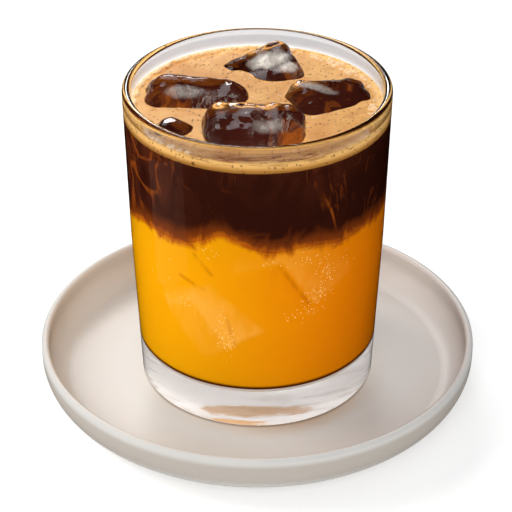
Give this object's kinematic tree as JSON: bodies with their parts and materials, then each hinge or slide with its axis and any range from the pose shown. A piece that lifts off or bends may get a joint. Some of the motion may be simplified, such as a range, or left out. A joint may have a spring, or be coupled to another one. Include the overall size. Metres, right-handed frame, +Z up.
{
  "type": "iced coffee",
  "caption": "Iced coffee poured over orange juice, with foam and floating ice, in a heavy-based glass tumbler on a small round saucer.",
  "frame": {"origin": "middle of the saucer's foot, on the surface that it stands on", "axes": "+Z up, along the axis of saucer and tumbler; -Y towards the side where the large front cube of ice floats"},
  "size_m": [0.1386, 0.1386, 0.1065],
  "materials": {
    "saucer": "satin, warm off-white",
    "glass": "clear, polished",
    "juice": "cloudy orange juice, wet",
    "coffee": "dark coffee, wet",
    "crema": "fine tan foam",
    "ice": "melting ice, wet, with cracks and bubbles"
  },
  "bodies": {
    "root": {"saucer": "saucer", "tumbler": "glass", "juice": "juice", "coffee": "coffee", "crema": "crema", "ice_back": "ice", "ice_left": "ice", "ice_front": "ice", "ice_right": "ice", "ice_small": "ice"}
  },
  "joints": []
}
